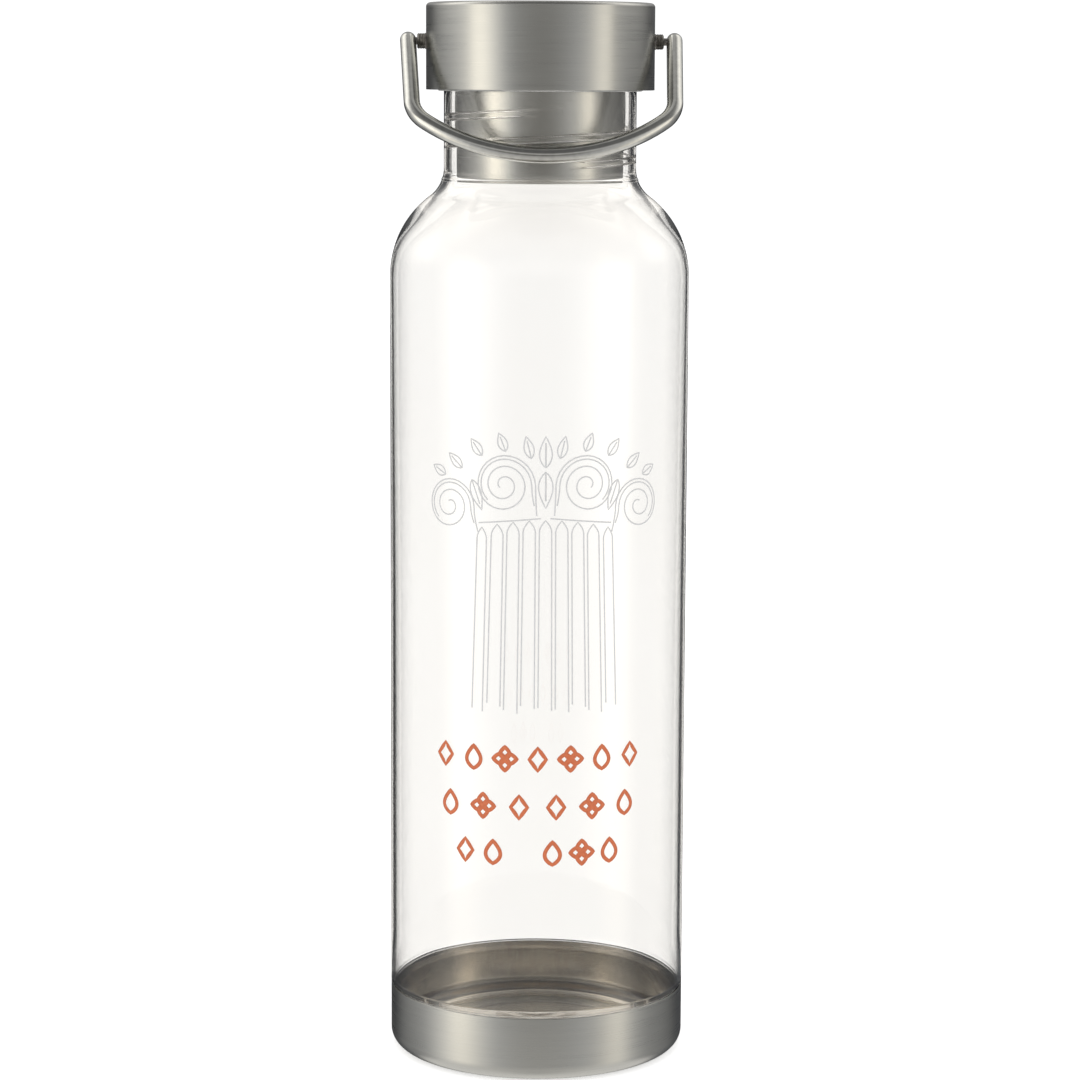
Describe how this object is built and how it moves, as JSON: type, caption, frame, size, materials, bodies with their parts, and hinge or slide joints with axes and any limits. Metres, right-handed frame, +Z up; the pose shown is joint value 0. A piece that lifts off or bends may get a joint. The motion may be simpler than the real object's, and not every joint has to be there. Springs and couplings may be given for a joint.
{
  "type": "water bottle",
  "caption": "Clear cylindrical water bottle with a narrower threaded neck, a pressed steel base cup, and a steel screw lid with a swinging wire bail.",
  "frame": {"origin": "centre of the base, on the surface that the bottle stands on", "axes": "+Z up along the bottle's axis to the lid; the bail hangs forward to -Y and its pivots lie along X"},
  "size_m": [0.073, 0.073, 0.2582],
  "materials": {
    "body_glass": "clear, polished",
    "cup_steel": "brushed round the cup",
    "lid_steel": "brushed round the lid",
    "plug_steel": "fine turned finish",
    "wire_steel": "satin polished wire",
    "pivot_steel": "dark machined",
    "core_plastic": "moulded polypropylene",
    "seal_silicone": "translucent silicone"
  },
  "bodies": {
    "bottle": {"bottle_body": "body_glass", "base_cup": "cup_steel", "base_bond": "seal_silicone"},
    "lid_ring": {"neck_gasket": "seal_silicone"},
    "lid": {"lid_shell": "lid_steel", "lid_core": "core_plastic", "plug_sleeve": "plug_steel", "pivot_bushing_left": "pivot_steel", "pivot_bushing_right": "pivot_steel", "pivot_nut_left": "pivot_steel", "pivot_nut_right": "pivot_steel"},
    "handle": {"handle": "wire_steel", "pivot_pin_left": "pivot_steel", "pivot_pin_right": "pivot_steel"}
  },
  "joints": [
    {"name": "lid_rise", "type": "slide", "parent": "bottle", "child": "lid_ring", "axis": [0, 0, 1], "range_m": [0, 0.02541]},
    {"name": "lid_turn", "type": "hinge", "parent": "lid_ring", "child": "lid", "pos_m": [0, 0, 0.2374], "axis": [0, 0, 1], "range_deg": [0, 1440]},
    {"name": "handle_swing", "type": "hinge", "parent": "lid", "child": "handle", "pos_m": [0, 0, 0.249], "axis": [-1, 0, 0], "range_deg": [0, 272.6]}
  ],
  "couplings": [
    {"joint": "lid_rise", "follows": "lid_turn", "m_per_rad": 0.0010106}
  ]
}
